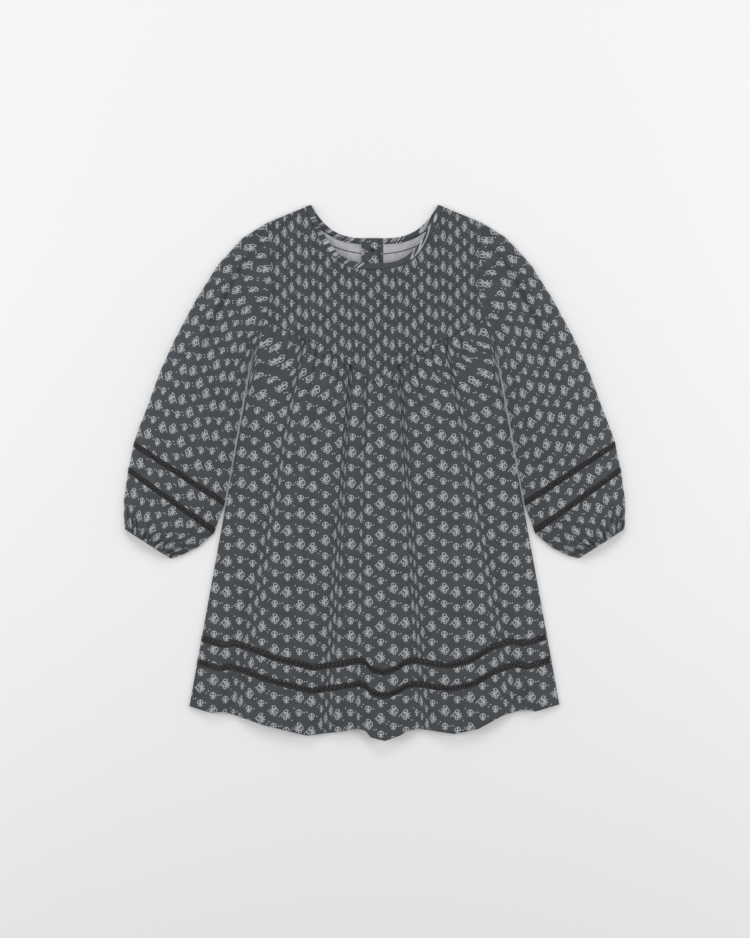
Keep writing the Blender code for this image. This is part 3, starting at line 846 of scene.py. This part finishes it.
def flat_back(name, columns, rows, shape):
    """A back panel: the wrong side up, the print below."""
    made = grid_object(name, columns, rows, shape, (wrong_side, printed_cotton), BACK_WALL)
    return made


back_top = BACK_UNDER + BACK_WALL
back_skirt = flat_back("back_skirt_cloth", 60, 40, skirt_shape(LACE_UPPER[1], None, back_top))
sewn(back_skirt, "skirt_back", area=0.135)
back_band = flat_back("back_band_cloth", 60, 2, skirt_shape(LACE_LOWER[1], LACE_UPPER[0], back_top))
sewn(back_band, "skirt_back_band")
back_hem = flat_back("back_hem_cloth", 60, 4, skirt_shape(0.0, LACE_LOWER[0], back_top))
sewn(back_hem, "skirt_back_hem")

PLACKET_LEFT = -0.0119
PLACKET_EDGE = 0.0048
PLACKET_RIGHT = 0.0092
PLACKET_LAP = 0.0022
BACK_PUCKER = 0.0004


def back_yoke_shape(side):
    inner = -PLACKET_LEFT if side < 0 else PLACKET_RIGHT

    def shape(across, along):
        share = (side * across + 1) / 2

        def out(down):
            return inner + SEAM + share * (side_out(down) - 2 * SEAM - inner)

        top = meet(yoke_top(back_bound), out)
        low = meet(yoke_seam_down, out) - SEAM / 2
        down = low + (top - low) * along
        x = side * out(down)
        pucker = np.abs(np.cos(np.pi * (x + 0.0004 * wander(down, 0.9, 0.02)) / 0.0042))
        z = back_top - BACK_PUCKER * (1 - pucker) * (0.6 + 0.4 * wander(x, 3.1, 0.02))
        return x, down, z, x * YOKE_FULLNESS, -down

    return shape


for label, side in (("left", -1), ("right", 1)):
    half = grid_object(
        f"back_yoke_cloth_{label}", 120, 24, back_yoke_shape(side), (wrong_side, printed_cotton), 0.0004
    )
    sewn(
        half, f"yoke_back_{label}",
        area=0.0170,
    )

ELASTIC_ROWS = (0.0415, 0.0530, 0.0640)
ELASTIC_RISE = 0.030
elastic_thread = plain_thread("elastic_thread", (0.030, 0.031, 0.034), 0.6)
for label, side, start in (("left", -1, -PLACKET_LEFT + 0.0006), ("right", 1, PLACKET_RIGHT + 0.0006)):
    rows_bm = bmesh.new()
    for down in ELASTIC_ROWS:
        outs = np.linspace(start, 0.078, 40)
        downs = down - ELASTIC_RISE * (outs / 0.08) ** 2.2
        points = np.stack([side * outs, TOP_Y - downs, np.full_like(outs, back_top + 0.0001)], axis=1)
        yarn(rows_bm, points, 0.00045, 6)
    bmesh.ops.recalc_face_normals(rows_bm, faces=rows_bm.faces[:])
    rows_object = cloth_object(f"elastic_rows_{label}", rows_bm, (elastic_thread,), 0.0)
    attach(rows_object, "root")

# Placket and button
# Two printed strips that lap at the centre back, the upper one stitched down along its edge, with a
# small dark button.


def strip_shape(left, right, top_z):
    def shape(across, along):
        x = left + (right - left) * (across + 1) / 2
        top = neck_down(x, BACK_NECK_DROP, BACK_NECK_POWER)
        low = yoke_seam_down(x) - SEAM / 2
        down = low + (top - low) * along
        edge = np.minimum(x - left, right - x)
        z = top_z - 0.0003 * (1 - smooth(edge / 0.0012)) + 0.00012 * wander(down, 0.4, 0.01)
        return x, down, z, x * 1.0 + 0.0068, -down + 0.004

    return shape


under = grid_object(
    "placket_under_cloth", 20, 60, strip_shape(PLACKET_LEFT + SEAM, PLACKET_RIGHT, CLOTH),
    (printed_cotton,), 0.0008,
)
sewn(under, "placket_under")
over = grid_object(
    "placket_over_cloth", 20, 60,
    strip_shape(PLACKET_LEFT - PLACKET_LAP, PLACKET_EDGE, 2 * CLOTH + SEAM),
    (printed_cotton,), 0.0008,
)
sewn(over, "placket_over")

BUTTON_AT = (-0.0021, 0.0486)
BUTTON_RADIUS = 0.0021
button_bm = bmesh.new()
bmesh.ops.create_circle(button_bm, cap_ends=True, segments=32, radius=BUTTON_RADIUS)
for radius, rise in ((1.06, 0.0003), (1.0, 0.0004), (0.80, 0.0003), (0.72, -0.0002), (0.30, -0.0001)):
    face = button_bm.faces[:] if len(button_bm.faces) == 1 else [max(button_bm.faces, key=lambda f: f.calc_center_median().z)]
    made = bmesh.ops.extrude_face_region(button_bm, geom=face)["geom"]
    ring = [part for part in made if isinstance(part, bmesh.types.BMVert)]
    centre_z = sum(vertex.co.z for vertex in ring) / len(ring)
    reach = max(vertex.co.xy.length for vertex in ring)
    for vertex in ring:
        scale = radius * BUTTON_RADIUS / max(reach, 1e-9)
        vertex.co = (vertex.co.x * scale, vertex.co.y * scale, centre_z + rise)
bmesh.ops.recalc_face_normals(button_bm, faces=button_bm.faces[:])
bmesh.ops.translate(
    button_bm, vec=(BUTTON_AT[0], TOP_Y - BUTTON_AT[1], 2 * CLOTH + 2 * SEAM), verts=button_bm.verts[:]
)
button = cloth_object("back_button", button_bm, (plain_thread("button_horn", (0.012, 0.013, 0.014), 0.3),), 0.0)
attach(button, "root")
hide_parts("button")

# Neck binding
# A bias strip of the print folded over the raw neck edge, one length round the front and one on each
# side of the placket at the back.


def binding_object(name, drop, power, start, end, columns, base, thickness):
    inner = neck_curve(drop, power)
    outer = moved_out(inner, BINDING_WIDTH)

    def at_share(curve, share):
        steps = np.linalg.norm(np.diff(curve, axis=0), axis=1)
        length = np.concatenate([[0.0], np.cumsum(steps)])
        where = share * length[-1]
        return np.interp(where, length, curve[:, 0]), np.interp(where, length, curve[:, 1]), where

    def shape(across, along):
        place = start + (end - start) * (across + 1) / 2
        side = np.where(place < 0, -1.0, 1.0)
        near_x, near_down, run = at_share(inner, np.abs(place))
        far_x, far_down, _ = at_share(outer, np.abs(place))
        x = side * (near_x + (far_x - near_x) * (1 - along))
        down = near_down + (far_down - near_down) * (1 - along)
        edge = np.minimum(along, 1 - along)
        round_off = np.sqrt(np.clip(edge / 0.16, 0.0, 1.0))
        z = base(x, down) + thickness * (0.45 + 0.55 * round_off)
        z = z + 0.00018 * wander(side * run, 1.9, 0.006)
        return x, down, z, side * run * 0.8 + 0.7 * down, 0.6 * down + 0.5 * side * run

    return grid_object(name, columns, 12, shape, (printed_cotton,), 0.0008)


def front_rest(x, down):
    return CLOTH + SEAM + lift(x, down)


front_binding = binding_object(
    "front_neck_binding", FRONT_NECK_DROP, FRONT_NECK_POWER, -1.0, 1.0, 240, front_rest, 0.0020
)
sewn(front_binding, "neck_binding_front", area=0.0019)
BACK_NECK_LENGTH = 0.0835
for label, side, gap in (
    ("left", -1, -PLACKET_LEFT + PLACKET_LAP + SEAM),
    ("right", 1, PLACKET_RIGHT + SEAM),
):
    first, last = side * gap / BACK_NECK_LENGTH, side * 1.0
    if side < 0:
        first, last = last, first
    strip = binding_object(
        f"back_neck_binding_{label}", BACK_NECK_DROP, BACK_NECK_POWER, first, last, 90,
        lambda x, down: np.zeros_like(x), CLOTH,
    )
    run = BACK_NECK_LENGTH - gap
    sewn(strip, f"neck_binding_back_{label}", area=run * 0.0088)

# Sleeves
# Each sleeve is one full panel sewn into a tube, gathered into the armhole and into a narrow elastic
# cuff, with two lace insertions above the cuff. It lies beside the skirt with its underside flat.
SLEEVE_SECTIONS = np.array([
    # upper out, upper down, lower out, lower down, height
    (0.1163, 0.0195, 0.1313, 0.1590, 0.0034),
    (0.1420, 0.0356, 0.1341, 0.1696, 0.0090),
    (0.1690, 0.0648, 0.1370, 0.1847, 0.0130),
    (0.1928, 0.1026, 0.1404, 0.2030, 0.0150),
    (0.2144, 0.1426, 0.1439, 0.2225, 0.0158),
    (0.2317, 0.1804, 0.1476, 0.2430, 0.0158),
    (0.2457, 0.2192, 0.1519, 0.2668, 0.0150),
    (0.2540, 0.2400, 0.1562, 0.2920, 0.0140),
    (0.2591, 0.2552, 0.1613, 0.3189, 0.0130),
    (0.2604, 0.2611, 0.1626, 0.3249, 0.0128),
    (0.2650, 0.2827, 0.1716, 0.3492, 0.0126),
    (0.2662, 0.2886, 0.1740, 0.3550, 0.0128),
    (0.2705, 0.3186, 0.1906, 0.3694, 0.0120),
    (0.2705, 0.3380, 0.2079, 0.3780, 0.0106),
    (0.2701, 0.3455, 0.2150, 0.3802, 0.0094),
    (0.2695, 0.3499, 0.2198, 0.3818, 0.0090),
])
SLEEVE_PIECES = (
    # name, first section, last section, rows, flat width, flat length, area
    ("", 0, 8, 150, 0.28, 0.30, 0.062),
    ("_lace_upper", 8, 9, 0, 0.22, 0.0100, None),
    ("_band", 9, 10, 14, 0.24, 0.026, None),
    ("_lace_lower", 10, 11, 0, 0.22, 0.0100, None),
    ("_puff", 11, 14, 40, 0.24, 0.050, 0.0112),
    ("_cuff", 14, 15, 8, 0.13, 0.0100, 0.00065),
)
FLAT_SLEEVE = 0.0029
SLEEVE_ROUNDNESS = 2.4
SLEEVE_CROWN = 0.75
EDGE_INSET = 0.0016
TOP_SHARE = 0.72
SLEEVE_AROUND = 170
SLEEVE_PRINT_WIDTH = 0.122
SLEEVE_PLEAT = np.array([
    # section, place across, half width, depth
    (0.0, 0.13, 0.050, 0.0004), (0.5, 0.16, 0.050, 0.0022), (1.0, 0.20, 0.055, 0.0032),
    (2.0, 0.28, 0.060, 0.0042), (3.0, 0.32, 0.080, 0.0036), (4.0, 0.41, 0.110, 0.0022),
    (5.5, 0.50, 0.130, 0.0000),
])
HEAD_GATHERS = (
    # place across, half width, depth, how many sections it runs
    (0.05, 0.020, 0.0016, 1.6), (0.09, 0.018, 0.0012, 2.2), (0.25, 0.022, 0.0012, 1.8),
    (0.34, 0.022, 0.0012, 1.5), (0.44, 0.024, 0.0009, 1.3), (0.56, 0.026, 0.0010, 1.2),
    (0.68, 0.028, 0.0008, 1.0),
)
CUFF_GATHERS = (
    # place across, half width, depth, how far up it runs in sections
    (0.05, 0.018, 0.0016, 1.6), (0.11, 0.020, 0.0022, 2.3), (0.18, 0.020, 0.0020, 1.9),
    (0.25, 0.024, 0.0026, 2.6), (0.33, 0.020, 0.0018, 1.6), (0.40, 0.022, 0.0024, 2.4),
    (0.48, 0.024, 0.0022, 2.0), (0.55, 0.020, 0.0018, 1.7), (0.62, 0.024, 0.0026, 2.6),
    (0.70, 0.022, 0.0022, 2.1), (0.78, 0.020, 0.0018, 1.6), (0.86, 0.024, 0.0022, 2.2),
    (0.94, 0.018, 0.0014, 1.5),
)
CUFF_SECTION = 13.6


def armhole_bow(across):
    upper, lower = ARMHOLE[0], ARMHOLE[-1]
    down = upper[1] + (lower[1] - upper[1]) * across
    straight = upper[0] + (lower[0] - upper[0]) * across
    return straight - np.interp(down, ARMHOLE[:, 1], ARMHOLE[:, 0])


where = np.arange(len(SLEEVE_SECTIONS))
AXIS = np.array((0.40, 0.916))


def sleeve_run(across):
    """Cloth length down the sleeve at every section, on the line at one place across."""
    line = SLEEVE_SECTIONS[:, None, 0:2] * (1 - across)[None, :, None] + (
        SLEEVE_SECTIONS[:, None, 2:4] * across[None, :, None]
    )
    steps = np.linalg.norm(np.diff(line, axis=0), axis=2)
    return line[0] @ AXIS + np.concatenate([np.zeros((1, len(across))), np.cumsum(steps, axis=0)])


RUN_PLACES = np.linspace(0.0, 1.0, 41)
RUN_TABLE = sleeve_run(RUN_PLACES)


def sleeve_surface(section, turn):
    """A point of the sleeve: turn 0..1 goes over the top from the lower fold, then back underneath."""
    upper_out, upper_down, lower_out, lower_down, height = (
        np.interp(section, where, SLEEVE_SECTIONS[:, i]) for i in range(5)
    )
    on_top = turn <= TOP_SHARE
    share = np.where(on_top, turn / TOP_SHARE, (turn - TOP_SHARE) / (1 - TOP_SHARE))
    share = 0.5 - 0.5 * np.cos(np.pi * np.clip(share, 0, 1))
    across = np.where(on_top, 1 - share, share)
    width = np.hypot(upper_out - lower_out, upper_down - lower_down)
    from_edge = np.minimum(across, 1 - across) * width
    edge = np.sqrt(np.clip(1 - (1 - np.clip(from_edge / EDGE_INSET, 0, 1)) ** 2, 0, 1))
    crown = np.clip(1 - np.abs(2 * across - 1) ** SLEEVE_ROUNDNESS, 0, 1) ** SLEEVE_CROWN
    top = FLAT_SLEEVE * (0.5 + 0.5 * edge) + (height - FLAT_SLEEVE) * crown
    sunk = np.interp(section, SLEEVE_PLEAT[:, 0], SLEEVE_PLEAT[:, 3]) * bump(
        across - np.interp(section, SLEEVE_PLEAT[:, 0], SLEEVE_PLEAT[:, 1]),
        np.interp(section, SLEEVE_PLEAT[:, 0], SLEEVE_PLEAT[:, 2]),
    )
    for place, half, depth, run in HEAD_GATHERS:
        fade = (1 - smooth(section / run)) * smooth(0.3 + section / 0.25)
        sunk = sunk + depth * fade * bump(across - place - 0.03 * section, half * (1 + 0.4 * section))
    for place, half, depth, run in CUFF_GATHERS:
        up = CUFF_SECTION - section
        fade = smooth(1 - up / run) * smooth((14.9 - section) / 0.8)
        drift = (place - 0.5) * 0.10 * np.clip(up, 0, 3)
        sunk = sunk + depth * fade * bump(across - place - drift, half)
    sunk = sunk + 0.0007 * crown * (0.5 + 0.5 * wander(across * 0.11 + section * 0.012, 4.2, 0.016))
    top = top - np.minimum(sunk, np.maximum(0.0, 0.85 * (top - FLAT_SLEEVE * 0.6)))
    under = FLAT_SLEEVE * 0.5 * (1 - edge)
    z = np.where(on_top, top, under)
    out = upper_out + (lower_out - upper_out) * across
    down = upper_down + (lower_down - upper_down) * across
    out = out - armhole_bow(across) * np.maximum(0.0, 1 - section / 2) ** 2
    column = np.clip(across * 40, 0, 39.999)
    low = np.floor(column).astype(int)
    level = np.clip(section, 0, len(where) - 1.0001)
    base = np.floor(level).astype(int)
    run_low = RUN_TABLE[base, low] + (RUN_TABLE[base + 1, low] - RUN_TABLE[base, low]) * (level - base)
    run_high = (
        RUN_TABLE[base, low + 1] + (RUN_TABLE[base + 1, low + 1] - RUN_TABLE[base, low + 1]) * (level - base)
    )
    run = run_low + (run_high - run_low) * (column - low)
    return out, down, z, (across - 0.5) * SLEEVE_PRINT_WIDTH, -run


def sleeve_gap(section):
    near = int(min(max(section, 0), len(SLEEVE_SECTIONS) - 2))
    step = SLEEVE_SECTIONS[near + 1, :4] - SLEEVE_SECTIONS[near, :4]
    return SEAM / 2 / min(math.hypot(step[0], step[1]), math.hypot(step[2], step[3]))


for label, side in (("left", -1), ("right", 1)):
    for piece, first, last, rows, flat_width, flat_length, area in SLEEVE_PIECES:
        start = first + (sleeve_gap(first) if first else 0.0)
        end = last - (sleeve_gap(last - 1) if last < len(SLEEVE_SECTIONS) - 1 else 0.0)
        name = f"sleeve_{label}{piece}"
        if "lace" in piece:

            def surface(along, across, start=start, end=end, side=side):
                section = np.array([start + (end - start) * (1 + across) / 2])
                out, down, z, _, _ = sleeve_surface(section, np.array([along % 1.0]))
                return np.array((side * out[0], TOP_Y - down[0], max(z[0] - 0.0003, 0.0004)))

            made = lace_strip(f"{name}_thread", surface, 0.235, 0.0066)
            sewn(made, name)
            continue

        def shape(across, along, start=start, end=end, side=side):
            section = end - (end - start) * along
            out, down, z, u, v = sleeve_surface(section, (across + 1) / 2)
            return side * out, down, z, side * u, v

        made = grid_object(
            f"{name}_cloth", SLEEVE_AROUND, rows, shape, (printed_cotton, wrong_side), THREAD_THIN, True
        )
        sewn(made, name, area=area)
